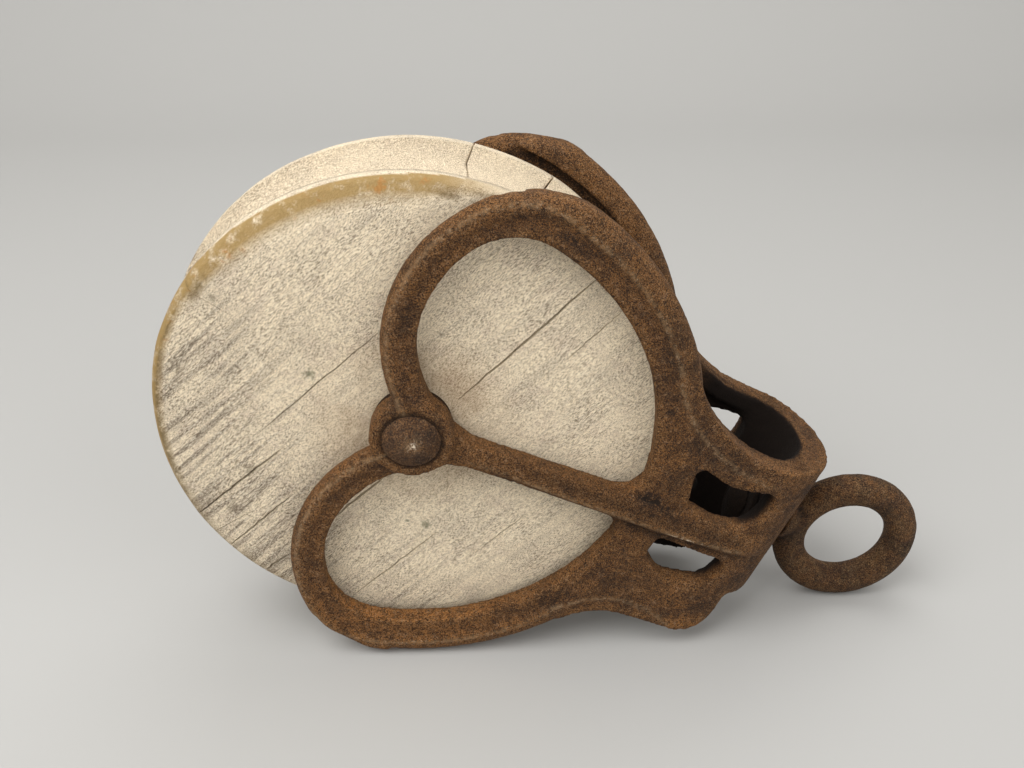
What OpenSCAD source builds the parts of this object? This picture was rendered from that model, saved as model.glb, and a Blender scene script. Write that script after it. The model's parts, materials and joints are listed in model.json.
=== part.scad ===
// Barn pulley: a turned wooden sheave in a one-piece cast iron heart frame with a swivel eye.
// Every piece is drawn on the pulley's own centreline: X from the axle towards the eye,
// Y along the axle, Z across the cheeks. It is then tipped to the pose in which it stands
// on the floor, on the lower guards of both cheeks and on the rim of the eye.

/* [Sheave] */
// Outer diameter of the wooden sheave
sheave_d = 190; // [150:1:230]
// Thickness of the sheave over its two flanges
sheave_t = 44; // [38:0.5:60]
// Flat lip left on each side of the rope groove
lip_w = 5.5; // [3:0.5:8]
// Depth of the rope groove below the lips
groove_depth = 12.5; // [6:0.5:15]
// Rounding on the sheave's four rim corners
rim_round = 1.5; // [0.5:0.25:2.5]

/* [Axle] */
// Diameter of the axle pin
pin_d = 16; // [12:0.5:20]
// Diameter of the pin's domed head
pin_head_d = 22; // [20:0.5:26]
// Height of the pin's domed head
pin_head_h = 4.5; // [3:0.5:7]
// Thickness of the burr washer under the riveted end
burr_t = 1.8; // [1:0.2:2.4]
// Outer diameter of the burr washer
burr_d = 25; // [22:0.5:28]
// Outer diameter of the iron bushing in the sheave
bushing_d = 29; // [24:0.5:36]
// How far the bushing stands proud of each face of the sheave
bushing_proud = 0.6; // [0.2:0.1:1]
// Thickness of each thrust washer
thrust_t = 1.9; // [1:0.1:3]

/* [Cheeks] */
// Thickness of a cheek's web
web_t = 8; // [6:0.5:10]
// Gap between the sheave's rim and the inside of the guard
guard_gap = 2.5; // [1.5:0.25:5]
// Radius of the half-round guard bead
guard_bead_r = 7; // [6:0.25:8]
// Width of the guard, from its inner edge to the outside of its bead
guard_w = 18; // [15:0.5:22]
// Radius of the bead along the lobes
lobe_bead_r = 4.8; // [4.2:0.1:5.2]
// How far both beads stand out from the face of the web
bead_proud = 1.2; // [0.4:0.1:1.6]
// Width of the lobe bars
lobe_w = 13; // [11:0.5:15]
// Half height of the centre bar
bar_half = 5.2; // [4:0.2:7]
// Diameter of the axle boss
boss_d = 31; // [30:0.5:36]
// How far the boss stands out from the face of the web
boss_proud = 2; // [1:0.5:4]

/* [Neck and crown] */
// Axle to the outside of the crown, along the centreline
crown_x = 162; // [158:1:175]
// Thickness of the crown at the centreline
crown_t = 13; // [10:0.5:16]
// Height of the crown above the centreline
crown_top = 37; // [34:0.5:38]
// Depth of the crown below the centreline
crown_bottom = 28; // [26:0.5:33]
// Thickness of the rims along the two arms
rim_t = 8; // [6:0.5:9]
// How far the upper arm dips below the height of the crown, at its waist
waist_dip = 1; // [0.5:0.25:3]
// Depth of the lower arm below the centreline
lower_arm = 49.5; // [47:0.5:52]
// Axle to the shoulder of the lower arm
shoulder_x = 145; // [143:1:150]

/* [Swivel eye] */
// Inner diameter of the eye
eye_hole_d = 34; // [26:0.5:38]
// Diameter of the bar that forms the eye
eye_bar_d = 13.5; // [10:0.5:16]
// Gap between the crown and the ring of the eye
eye_gap = 1.5; // [1:0.25:8]
// Diameter of the eye's shank
shank_d = 15; // [12:0.5:17]
// Diameter of the collar between the ring and the crown
collar_d = 21; // [19:0.5:24]
// Diameter of the riveted head inside the yoke
shank_head_d = 20; // [18:0.5:24]
// Height of that riveted head
shank_head_h = 4; // [3:0.5:6]
// Thickness of the washer under the shank's riveted head
swivel_washer_t = 2.4; // [1.6:0.2:3.2]
// Outer diameter of that washer
swivel_washer_d = 27; // [24:0.5:28]

/* [Hidden] */
$fn = 96;

// Clearances
run_gap = 0.1;          // radial, on each shaft that turns
fixed_gap = 0.05;       // radial, on each fixed pin and bush
face_gap = 0.2;         // axial, between faces that turn on each other

// Sheave
sheave_r = sheave_d / 2;
half_t = sheave_t / 2;
groove_half = half_t - lip_w;
groove_r = (pow(groove_half, 2) + pow(groove_depth, 2)) / (2 * groove_depth);

// Stack along the axle, measured from the middle of the pulley
bushing_half = half_t + bushing_proud;
thrust_d = bushing_d;   // each thrust washer covers the end of the bushing
thrust_in = bushing_half + face_gap;
cheek_in = thrust_in + thrust_t + face_gap;
cheek_out = cheek_in + web_t;
boss_out = cheek_out + boss_proud;
pin_tip = boss_out + pin_head_h;

// Guard arcs, all about the axle
guard_low = sheave_r + guard_gap;
guard_bead_c = guard_low + 2;   // the bead's underside is cut flat at guard_low
guard_out = guard_bead_c + guard_bead_r;
guard_in = guard_out - guard_w;
bead_y = cheek_out - guard_bead_r + bead_proud;
root_r = guard_out - 1;         // the curves of the arms run out on this circle

// Lobes: a corner arc and a limb arc, each tangent to the one before it
corner_r = 36;
limb_r = 60;
limb_c = [33, 51];
corner_sink = 0.6;      // keeps the corner arc just clear of the limb arc, which the beads cover
corner_c = meeting(guard_out - corner_r, limb_r - corner_r - corner_sink);
corner_a = direction(corner_c);
limb_a = direction(corner_c - limb_c);
limb_end_a = 222;
bead_lap = 2.5;         // the guard's bead and the lobe's run into each other by this angle
lobe_bead_y = cheek_out - lobe_bead_r + bead_proud;

// Toes: the deep side of the guard's bead runs on a little under each corner arc
toe_end_a = corner_a + 13;
toe_inset = 0.7;        // radial, inside the lobe's bead
toe_slack = 0.35;       // radial, inside the guard's bead

// Openings of the lobes: rounded at the corner arc and where the bar meets the guard
limb_in = limb_r - lobe_w;
opening_r = 24;
opening_c = meeting(guard_in - opening_r, limb_in - opening_r);
opening_a = direction(opening_c);
opening_limb_a = direction(opening_c - limb_c);
fork_r = 9;
fork_c = [sqrt(pow(guard_in - fork_r, 2) - pow(bar_half + fork_r, 2)), bar_half + fork_r];

// Ridge along the centre bar: a shallow arch that sinks towards the boss and the crown
ridge_r = 5.6;
ridge_mid = 80;         // from the axle to the top of the arch
ridge_proud = 2.6;
ridge_bend = 900;       // radius of the arch
ridge_deep = 3;         // how much of the section is kept below its top

// Neck: the two cheeks come together in a U, seen along the cheeks
u_out_r = cheek_out;
u_in_r = cheek_in;
u_out_x = crown_x - u_out_r;
u_in_x = crown_x - crown_t - u_in_r;
ridge_from_a = asin((ridge_mid - boss_d / 2 + 2) / ridge_bend);
ridge_to_a = asin((u_out_x + 4 - ridge_mid) / ridge_bend);
waist_r = 60;
waist_low = crown_top - waist_dip;
waist_c = [sqrt(pow(root_r + waist_r, 2) - pow(waist_low + waist_r, 2)), waist_low + waist_r];
shoulder_r = 13;
underarm_r = 28;
underarm_c = [sqrt(pow(root_r + underarm_r, 2) - pow(lower_arm + underarm_r, 2)), -lower_arm - underarm_r];
neck_x = 70;            // where the neck starts, inside the heart
rim_inset = 0.4;        // the rims stay this far inside the outline of the arms
rim_y = bead_y - guard_bead_r + 1.1;
rim_end = crown_x - 21; // the rims end inside the crown
far_past = 200;         // a length that reaches past everything

// Windows between the arms: corner points with their fillet radii
upper_window = [[102.5, 27.5, 3], [108, 8.5, 4], [121, 5.5, 10], [139, 7, 9], [138.5, 25.5, 4], [119, 22.5, 20]];
lower_window = [[100, -14, 3], [105, -8.5, 3], [136.5, -10.5, 4], [132, -23, 8], [113, -26, 9]];
fillet_steps = 5;

// Swivel eye
eye_bar_r = eye_bar_d / 2;
eye_r = eye_hole_d / 2 + eye_bar_r;
eye_out = eye_r + eye_bar_r;
eye_x = crown_x + eye_gap + eye_out;
pad_r = swivel_washer_d / 2 + 0.5;
pad_x = u_in_x + sqrt(pow(u_in_r, 2) - pow(pad_r, 2));
washer_x = pad_x - face_gap - swivel_washer_t;

// Pose: the guards and the eye both touch the floor
tilt = asin((guard_out - eye_out) / eye_x);
axle_z = guard_out;
left_x = -sheave_r;
right_x = eye_x * cos(tilt) + eye_out;
axle_x = -(left_x + right_x) / 2;

iron = [0.36, 0.24, 0.17];
iron_dark = [0.27, 0.19, 0.15];
wood = [0.76, 0.69, 0.57];

function unit(v) = v / norm(v);
function direction(v) = atan2(v[1], v[0]);

// The point at distance a from the axle and b from the middle of the limb arc, on the corner's side
function meeting(a, b) =
    let (d = norm(limb_c), along = (a * a - b * b + d * d) / (2 * d), across = sqrt(a * a - along * along))
    along * unit(limb_c) + across * [-limb_c[1], limb_c[0]] / d;

// Points of the arc that rounds corner b, between its neighbours a and c, to radius r
function fillet(a, b, c, r) =
    let (p = unit(a - b), q = unit(c - b),
         half = acos(p * q) / 2,
         mid = b + unit(p + q) * r / sin(half),
         start = atan2((b + p * r / tan(half) - mid)[1], (b + p * r / tan(half) - mid)[0]),
         stop = atan2((b + q * r / tan(half) - mid)[1], (b + q * r / tan(half) - mid)[0]),
         turn = stop - start > 180 ? stop - start - 360 : stop - start < -180 ? stop - start + 360 : stop - start)
    [for (i = [0 : fillet_steps]) mid + r * [cos(start + turn * i / fillet_steps), sin(start + turn * i / fillet_steps)]];

// A closed outline from corners [x, y, radius]
function rounded(corners) =
    let (n = len(corners), at = [for (k = corners) [k[0], k[1]]])
    [for (i = [0 : n - 1]) each fillet(at[(i + n - 1) % n], at[i], at[(i + 1) % n], corners[i][2])];

// Stands a piece drawn on the centreline in its resting pose
module stand() {
    translate([axle_x, 0, axle_z]) rotate([0, tilt, 0]) children();
}

// Turns a piece drawn about Z so that its axis lies along the axle, Z towards the near side
module on_axle() {
    rotate([90, 0, 0]) children();
}

// Extrudes an outline drawn in the cheek's plane through both cheeks
module across_pulley() {
    on_axle() linear_extrude(height = 2 * far_past, center = true) children();
}

// Outline of the heart, inset by d from the outside of its beads
module heart(d) {
    difference() {
        intersection() {
            circle(r = guard_out - d);
            union() {
                for (s = [-1, 1]) translate([limb_c[0], s * limb_c[1]]) circle(r = limb_r - d);
                translate([limb_c[0], -far_past / 2]) square(far_past);
            }
        }
        for (s = [0, 1]) mirror([0, s]) corner_cut(corner_c, corner_r - d, corner_a, limb_a);
    }
    for (s = [-1, 1]) translate([corner_c[0], s * corner_c[1]]) circle(r = corner_r - d);
    circle(d = boss_d);
}

// What lies beyond the chord of a corner arc, from angle a to angle b
module corner_cut(c, r, a, b) {
    start = c + r * [cos(a), sin(a)];
    stop = c + r * [cos(b), sin(b)];
    out = 2 * r * [cos((a + b) / 2), sin((a + b) / 2)];
    polygon([start, start + out, stop + out, stop]);
}

// The opening above the centre bar
module lobe_opening() {
    difference() {
        union() {
            difference() {
                intersection() {
                    circle(r = guard_in);
                    union() {
                        translate(limb_c) circle(r = limb_in);
                        translate([limb_c[0], 0]) square(far_past);
                    }
                    translate([-far_past / 2, bar_half]) square(far_past);
                }
                corner_cut(opening_c, opening_r, opening_a, opening_limb_a);
                corner_cut(fork_c, fork_r, -90, direction(fork_c));
            }
            translate(opening_c) circle(r = opening_r);
            translate(fork_c) circle(r = fork_r);
        }
        circle(d = boss_d);
    }
}

// Outline of the neck, from the guard to the end of the crown, inset by d
module neck(d) {
    top = root_r * unit(waist_c);
    low = root_r * unit(underarm_c);
    difference() {
        union() {
            polygon([[neck_x, low[1]], low, [underarm_c[0], d - lower_arm], [neck_x + 50, d - lower_arm],
                     [neck_x + 50, crown_top - d], waist_c, top, [neck_x, top[1]]]);
            polygon(rounded([[neck_x, 0, 1], [neck_x, d - lower_arm + 1, 1], [underarm_c[0], d - lower_arm, 1],
                             [shoulder_x, d - lower_arm, shoulder_r - d], [shoulder_x, 0, 1]]));
            translate([neck_x, d - crown_bottom]) square([far_past, crown_bottom + crown_top - 2 * d]);
        }
        translate(waist_c) circle(r = waist_r + d);
        translate(underarm_c) circle(r = underarm_r + d);
    }
}

// Plan of both cheeks and the crown, a U open at the axle end
module u_plan() {
    difference() {
        union() {
            translate([u_out_x, 0]) circle(r = u_out_r);
            translate([u_out_x - far_past, -u_out_r]) square([far_past, 2 * u_out_r]);
        }
        translate([u_in_x, 0]) circle(r = u_in_r);
        translate([u_in_x - far_past, -u_in_r]) square([far_past, 2 * u_in_r]);
    }
}

// The frame's web: heart and neck seen from the side, U seen from above
module webs() {
    intersection() {
        linear_extrude(height = 2 * far_past, center = true) u_plan();
        across_pulley() difference() {
            union() {
                heart(lobe_bead_r);
                neck(0);
            }
            for (s = [0, 1]) mirror([0, s]) lobe_opening();
            polygon(rounded(upper_window));
            polygon(rounded(lower_window));
        }
    }
}

// A bead along an arc in the cheek's plane: centre c, radius r, from angle a to angle b
module bead_arc(c, r, a, b) {
    translate([c[0], c[1], lobe_bead_y]) rotate([0, 0, a])
        rotate_extrude(angle = b - a) translate([r, 0]) circle(r = lobe_bead_r, $fn = 48);
}

// Half-round bead round the guard, flat on the side that faces the sheave
module guard_bead() {
    end_a = corner_a + bead_lap;
    rotate([0, 0, -end_a]) rotate_extrude(angle = 2 * end_a) difference() {
        translate([guard_bead_c, bead_y]) circle(r = guard_bead_r, $fn = 48);
        translate([0, bead_y - far_past / 2]) square([guard_low, far_past]);
    }
}

// The deep side of the guard's bead, run on under the corner arc of one lobe
module guard_toe() {
    intersection() {
        rotate([0, 0, corner_a - bead_lap]) rotate_extrude(angle = toe_end_a - corner_a + bead_lap) difference() {
            translate([guard_bead_c, bead_y]) circle(r = guard_bead_r - toe_slack, $fn = 48);
            translate([0, bead_y - far_past / 2]) square([guard_low + toe_slack / 2, far_past]);
            translate([0, bead_y]) square(far_past);
        }
        linear_extrude(height = bead_y + 1) heart(toe_inset);
    }
}

// Bead round the outside of one lobe: the corner arc, then the limb arc down to the boss
module lobe_bead() {
    bead_arc(corner_c, corner_r - lobe_bead_r, corner_a - bead_lap, limb_a);
    bead_arc(limb_c, limb_r - lobe_bead_r, limb_a, limb_end_a);
}

// Rims that stiffen the arms, sunk into the web and reaching in over the sheave
module arm_rims() {
    translate([0, 0, rim_y]) linear_extrude(height = cheek_in + web_t / 2 - rim_y) difference() {
        neck(rim_inset);
        neck(rim_t);
        circle(r = guard_bead_c);
        translate([rim_end, -far_past / 2]) square(far_past);
    }
}

module near_cheek_trim() {
    on_axle() {
        guard_bead();
        arm_rims();
        for (s = [0, 1]) mirror([0, s, 0]) {
            lobe_bead();
            guard_toe();
        }
        translate([0, 0, cheek_in]) cylinder(d = boss_d, h = web_t + boss_proud);
        ridge();
    }
}

// Rounded ridge along the centre bar, swept along its shallow arch
module ridge() {
    translate([ridge_mid, 0, cheek_out + ridge_proud - ridge_bend]) rotate([90, 0, 0])
        rotate([0, 0, 90 - ridge_to_a]) rotate_extrude(angle = ridge_from_a + ridge_to_a) intersection() {
            translate([ridge_bend - ridge_r, 0]) circle(r = ridge_r);
            translate([ridge_bend - ridge_deep, -ridge_r]) square(2 * ridge_r);
        }
}

module frame() {
    color(iron) stand() difference() {
        union() {
            webs();
            near_cheek_trim();
            mirror([0, 1, 0]) near_cheek_trim();
            translate([pad_x, 0, 0]) rotate([0, 90, 0]) cylinder(r = pad_r, h = crown_x - crown_t / 2 - pad_x);
        }
        on_axle() cylinder(d = pin_d + 2 * fixed_gap, h = 2 * far_past, center = true);
        translate([u_in_x, 0, 0]) rotate([0, 90, 0]) cylinder(d = shank_d + 2 * run_gap, h = far_past);
        translate([pad_x - far_past / 4, 0, 0]) rotate([0, 90, 0]) cylinder(r = pad_r, h = far_past / 4);
    }
}

module sheave() {
    color(wood) stand() on_axle() rotate_extrude() difference() {
        polygon(rounded([[bushing_d / 2 + fixed_gap, -half_t, 0.3], [sheave_r, -half_t, rim_round],
                         [sheave_r, half_t, rim_round], [bushing_d / 2 + fixed_gap, half_t, 0.3]]));
        translate([sheave_r - groove_depth + groove_r, 0]) circle(r = groove_r);
    }
}

module hub_bushing() {
    color(iron_dark) stand() on_axle() difference() {
        cylinder(d = bushing_d, h = 2 * bushing_half, center = true);
        cylinder(d = pin_d + 2 * run_gap, h = far_past, center = true);
    }
}

module thrust_washer() {
    difference() {
        cylinder(d = thrust_d, h = thrust_t);
        cylinder(d = pin_d + 2 * run_gap, h = far_past, center = true);
    }
}

module near_thrust_washer() {
    color(iron_dark) stand() on_axle() translate([0, 0, thrust_in]) thrust_washer();
}

module far_thrust_washer() {
    color(iron_dark) stand() on_axle() translate([0, 0, -thrust_in - thrust_t]) thrust_washer();
}

// A low dome of base radius r and height h, standing on Z = 0
module dome(r, h) {
    ball = (r * r + h * h) / (2 * h);
    intersection() {
        translate([0, 0, h - ball]) sphere(r = ball);
        cylinder(r = r, h = h);
    }
}

module axle_pin() {
    color(iron_dark) stand() on_axle() {
        translate([0, 0, -boss_out - burr_t]) cylinder(d = pin_d, h = 2 * boss_out + burr_t);
        translate([0, 0, boss_out]) dome(pin_head_d / 2, pin_head_h);
        mirror([0, 0, 1]) translate([0, 0, boss_out + burr_t]) dome(pin_head_d / 2 - 1.5, pin_head_h - burr_t);
    }
}

module axle_burr() {
    color(iron_dark) stand() on_axle() mirror([0, 0, 1]) translate([0, 0, boss_out]) difference() {
        cylinder(d = burr_d, h = burr_t);
        cylinder(d = pin_d + 2 * fixed_gap, h = far_past, center = true);
    }
}

module swivel_eye() {
    color(iron) stand() {
        translate([eye_x, 0, 0]) on_axle() rotate_extrude() translate([eye_r, 0]) circle(r = eye_bar_r, $fn = 64);
        translate([washer_x, 0, 0]) rotate([0, 90, 0]) cylinder(d = shank_d, h = eye_x - eye_r - washer_x);
        translate([crown_x + face_gap + 0.3, 0, 0]) rotate([0, 90, 0])
            cylinder(d1 = collar_d, d2 = eye_bar_d, h = eye_x - eye_r - crown_x);
        translate([washer_x, 0, 0]) rotate([0, -90, 0]) dome(shank_head_d / 2, shank_head_h);
    }
}

module swivel_washer() {
    color(iron_dark) stand() translate([washer_x, 0, 0]) rotate([0, 90, 0]) difference() {
        cylinder(d = swivel_washer_d, h = swivel_washer_t);
        cylinder(d = shank_d + 2 * fixed_gap, h = far_past, center = true);
    }
}

frame();
sheave();
hub_bushing();
near_thrust_washer();
far_thrust_washer();
axle_pin();
axle_burr();
swivel_eye();
swivel_washer();
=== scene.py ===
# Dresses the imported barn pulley: weathered wood, rusty cast iron, soft light and the photograph's view.
# Everything is in metres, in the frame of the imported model. "Pulley axes" below are u, from the axle
# towards the eye, v, across that in the plane of the cheeks, and w, along the axle to the near side.

import json
import math

import bmesh
import bpy
import numpy as np
from mathutils import Matrix, Vector


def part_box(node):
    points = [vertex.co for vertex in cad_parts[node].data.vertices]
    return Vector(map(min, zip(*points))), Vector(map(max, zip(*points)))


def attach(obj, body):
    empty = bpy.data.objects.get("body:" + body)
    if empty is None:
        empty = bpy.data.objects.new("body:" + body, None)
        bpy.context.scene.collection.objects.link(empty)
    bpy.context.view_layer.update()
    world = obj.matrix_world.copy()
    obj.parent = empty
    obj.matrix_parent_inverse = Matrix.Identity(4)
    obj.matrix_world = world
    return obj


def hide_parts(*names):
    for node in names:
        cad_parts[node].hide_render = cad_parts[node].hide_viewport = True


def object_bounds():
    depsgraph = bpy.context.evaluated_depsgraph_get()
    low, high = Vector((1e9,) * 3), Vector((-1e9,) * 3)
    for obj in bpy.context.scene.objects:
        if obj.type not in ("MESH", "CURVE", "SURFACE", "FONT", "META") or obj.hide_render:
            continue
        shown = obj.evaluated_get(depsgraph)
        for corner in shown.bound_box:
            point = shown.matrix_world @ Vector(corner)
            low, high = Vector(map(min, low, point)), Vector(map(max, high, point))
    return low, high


bl_info = {
    "name": "Barn pulley",
    "version": (1, 0, 0),
    "blender": (4, 5, 0),
    "location": "View3D > Sidebar > Pulley",
    "description": "Weathered wood, rusty iron, light and camera for a barn pulley",
    "category": "Add Mesh",
}

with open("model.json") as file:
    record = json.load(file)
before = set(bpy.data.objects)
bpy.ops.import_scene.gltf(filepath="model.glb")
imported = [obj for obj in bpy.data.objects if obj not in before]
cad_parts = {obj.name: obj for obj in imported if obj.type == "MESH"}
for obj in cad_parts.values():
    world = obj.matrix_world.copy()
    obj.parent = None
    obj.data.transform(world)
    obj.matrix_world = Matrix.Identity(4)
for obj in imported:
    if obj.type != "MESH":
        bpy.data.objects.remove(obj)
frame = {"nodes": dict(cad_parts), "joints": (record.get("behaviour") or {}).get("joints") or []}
CAD_BOX = [list(corner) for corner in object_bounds()]
MM = 0.001

JOINTS = {joint["name"]: joint for joint in frame["joints"]}
AXLE = np.array(JOINTS["sheave_spin"]["pos_m"])
ALONG_U = np.array(JOINTS["eye_swivel"]["axis"])
ALONG_V = np.array([-ALONG_U[2], 0.0, ALONG_U[0]])
ALONG_W = np.array([0.0, -1.0, 0.0])


def node_size(node):
    """Lowest and highest corner of a CAD node as arrays."""
    low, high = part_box(node)
    return np.array(low), np.array(high)


SHEAVE_LOW, SHEAVE_HIGH = node_size("sheave")
SHEAVE_R = (SHEAVE_HIGH[2] - SHEAVE_LOW[2]) / 2
SHEAVE_HALF = (SHEAVE_HIGH[1] - SHEAVE_LOW[1]) / 2
BUSHING_LOW, BUSHING_HIGH = node_size("hub_bushing")
BUSHING_R = (BUSHING_HIGH[2] - BUSHING_LOW[2]) / 2

CROWN_U = float(np.dot(np.array(JOINTS["eye_swivel"]["pos_m"]) - AXLE, ALONG_U))

# Small dark marks on the near face, in millimetres from the axle: x, z, size, and green (1) or brown (0)
MARKS = [
    (-36, 21, 5, 1), (49, 47, 2, 0), (12, 36, 2.5, 0), (26, -59, 3, 0), (3, -48, 5, 1),
    (-4, -46, 2, 1), (-62, -20, 7, 0), (-70, -38, 8, 0), (-66, 52, 4, 0), (-82, 24, 5, 0),
]

# Cracks in the near face, in millimetres from the axle: x and z of both ends, width and depth
NEAR_CRACKS = [
    ((66.5, 57.5), (17, 9), 1.1, 10),
    ((75.5, 44.5), (56, 25), 0.55, 5),
    ((-9, 38.5), (-57, -4), 0.6, 6),
    ((-48, -10), (-87, -43), 1.0, 9),
    ((-47, -32), (-76, -58), 0.85, 8),
    ((-51, -61), (-65, -72), 1.1, 9),
    ((-6, -19), (-36, -47), 0.9, 8),
    ((7, -52), (-28, -84), 0.75, 7),
    ((43, -43), (24, -61), 0.5, 4),
]
BLADE_STEPS = 15

# Cracks across the rim: angle about the axle in degrees, width in millimetres, and both ends along the
# axle as shares of half the sheave's thickness, from -1 at the near face to 1 at the far one
RIM_CRACKS = [
    (75.5, 1.1, -0.75, 0.97),
    (56.5, 1.1, -0.7, 1.03),
    (143.0, 0.8, -1.0, 0.1),
    (212.0, 0.9, -1.0, 0.4),
]
WEDGE_STEPS = 11

# Direction of the wood's grain on the faces
GRAIN_ANGLE = math.radians(42)

# Points along the stretches of the sheave's section, and round the sheave
FACE_STEPS = 30
LIP_STEPS = 7
GROOVE_STEPS = 45
ROUND_STEPS = 400

# The frame's outline, in millimetres from the axle: the guard's radius, the degrees between which the guard
# is the outline, and the circles of the lobes and of the hollow waists by centre u, centre v and radius
GUARD_OUT = 106.5
GUARD_SPAN = (36, 76)
CORNER = (17.3, 68.3, 36)
LIMB = (33, 51, 60)
UPPER_WAIST = (134.8, 96.0, 60)
LOWER_WAIST = (108.7, -77.5, 28)

# The casting line: how far inside the outline it runs on the guard and on the lobes, in millimetres, how
# wide it is, and how high
LINE_INSET = 7.4
LOBE_LINE_INSET = 2.6
LINE_WIDTH = 0.85
LINE_HEIGHT = 0.6 * MM

# Where the guard's bead runs out, in degrees about the axle, then the bar's rib, in millimetres from the
# axle: its end, half its width, the middle of its pale chips, and how far its skin swells across the neck
TOE_ANGLE = 88
RIB_END = 133
RIB_HALF = 5.6
RIB_CHIPS = 113
RIB_SWELL = 3.3 * MM

# Rounds of smoothing: in worn places, before reading the fine edges, and before reading the broad crests
WEAR_STEPS = 24
EDGE_STEPS = 3
CREST_STEPS = 14

# Tints of the wood that the settings leave fixed
WARM_WOOD = (0.50, 0.37, 0.29)
SOOT = (0.17, 0.125, 0.08)
BLEACHED = (1.0, 0.90, 0.70)
RUST_SPOT = (0.46, 0.20, 0.05)
SEAM = (0.15, 0.10, 0.04)
# The next tint is a rust stain round the axle, together with painted shade from the frame
IRON_STAIN_AND_SHADE = (0.36, 0.22, 0.11)
# The next tint is painted shade on the cracks' walls
CRACK_SHADE = (0.030, 0.020, 0.012)
MOULD_GREEN = (0.11, 0.115, 0.06)

# Tints of the iron that the settings leave fixed
OLIVE_RUST = (0.105, 0.075, 0.038)
DRY_RUST = (0.34, 0.215, 0.125)
DAMP_RUST = (0.026, 0.013, 0.007)
PIT_BLACK = (0.012, 0.006, 0.003)
PALE_GRIT = (0.38, 0.23, 0.11)
# The next tint darkens random patches, and is painted shade in broad valleys
SOIL_AND_SHADE = (0.016, 0.009, 0.005)
# The next tint is painted shade: creases, walls inside the crown, bands along the rib, rings round the pins
SHADE_BLACK = (0.010, 0.006, 0.004)
WORN_LINE = (0.36, 0.235, 0.125)
# The next tint is pale chips on the rib, and a painted highlight on the pin's dome
CHIP_AND_GLINT = (0.78, 0.66, 0.50)


class PulleyWoodSettings(bpy.types.PropertyGroup):
    """Sizes and colours of the sheave."""

    pale: bpy.props.FloatVectorProperty(
        name="Pale wood", description="Colour of the bare, bleached wood",
        subtype="COLOR", default=(0.84, 0.70, 0.50), min=0, max=1)
    grey: bpy.props.FloatVectorProperty(
        name="Grey wood", description="Colour of the weathered streaks",
        subtype="COLOR", default=(0.44, 0.36, 0.27), min=0, max=1)
    dark: bpy.props.FloatVectorProperty(
        name="Pores", description="Colour of the pores, specks and crack walls",
        subtype="COLOR", default=(0.10, 0.068, 0.040), min=0, max=1)
    stain: bpy.props.FloatVectorProperty(
        name="Stain", description="Colour of the golden brown stain along the near lip",
        subtype="COLOR", default=(0.36, 0.235, 0.085), min=0, max=1)
    rim_round: bpy.props.FloatProperty(
        name="Lip wear", description="How far the worn lips of the groove are rounded",
        subtype="DISTANCE", unit="LENGTH", default=2.2 * MM, min=0.5 * MM, max=4 * MM)
    lip_width: bpy.props.FloatProperty(
        name="Lip width", description="Flat left on each side of the rope groove",
        subtype="DISTANCE", unit="LENGTH", default=5.5 * MM, min=3 * MM, max=8 * MM)
    groove_depth: bpy.props.FloatProperty(
        name="Groove depth", description="Depth of the rope groove below the lips",
        subtype="DISTANCE", unit="LENGTH", default=12.5 * MM, min=6 * MM, max=15 * MM)


class PulleyIronSettings(bpy.types.PropertyGroup):
    """Sizes and colours of the iron."""

    dark: bpy.props.FloatVectorProperty(
        name="Dark rust", description="Colour of the dark, purplish scale on the faces",
        subtype="COLOR", default=(0.052, 0.024, 0.012), min=0, max=1)
    brown: bpy.props.FloatVectorProperty(
        name="Brown rust", description="Colour of the ordinary rust",
        subtype="COLOR", default=(0.170, 0.078, 0.025), min=0, max=1)
    orange: bpy.props.FloatVectorProperty(
        name="Orange rust", description="Colour of the fresh rust on worn edges",
        subtype="COLOR", default=(0.36, 0.150, 0.037), min=0, max=1)
    pale: bpy.props.FloatVectorProperty(
        name="Pale specks", description="Colour of the pale specks along the edges",
        subtype="COLOR", default=(0.62, 0.46, 0.30), min=0, max=1)
    voxel: bpy.props.FloatProperty(
        name="Skin size", description="Size of the facets that the rough skin is made of",
        subtype="DISTANCE", unit="LENGTH", default=1.05 * MM, min=0.6 * MM, max=3 * MM)
    pitting: bpy.props.FloatProperty(
        name="Pitting", description="Depth of the pits in the cast skin",
        subtype="DISTANCE", unit="LENGTH", default=0.4 * MM, min=0, max=1 * MM)


class PulleyStageSettings(bpy.types.PropertyGroup):
    """Floor, light and view."""

    floor: bpy.props.FloatVectorProperty(
        name="Floor", description="Colour of the floor and the backdrop",
        subtype="COLOR", default=(0.44, 0.435, 0.42), min=0, max=1)
    lens: bpy.props.FloatProperty(
        name="Lens", description="Focal length on a 36 mm wide sensor, in millimetres",
        default=38.67, min=20, max=120)
    azimuth: bpy.props.FloatProperty(
        name="Azimuth", description="Camera's turn about the vertical",
        subtype="ANGLE", unit="ROTATION", default=math.radians(-2.0))
    elevation: bpy.props.FloatProperty(
        name="Elevation", description="Camera's height as an angle above the horizon",
        subtype="ANGLE", unit="ROTATION", default=math.radians(31.3))
    distance: bpy.props.FloatProperty(
        name="Distance", description="Distance of the camera from the point that it looks at",
        subtype="DISTANCE", unit="LENGTH", default=423.1 * MM, min=0.1)
    aim_right: bpy.props.FloatProperty(
        name="Aim right", description="How far the view's centre lies to the right of the axle",
        subtype="DISTANCE", unit="LENGTH", default=37.27 * MM)
    aim_up: bpy.props.FloatProperty(
        name="Aim up", description="How far the view's centre lies above the axle",
        subtype="DISTANCE", unit="LENGTH", default=2.38 * MM)


def pulley_axes(points):
    """Coordinates u, v and w of points, as columns, measured from the middle of the axle."""
    return (points - AXLE) @ np.stack([ALONG_U, ALONG_V, ALONG_W]).T


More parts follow.
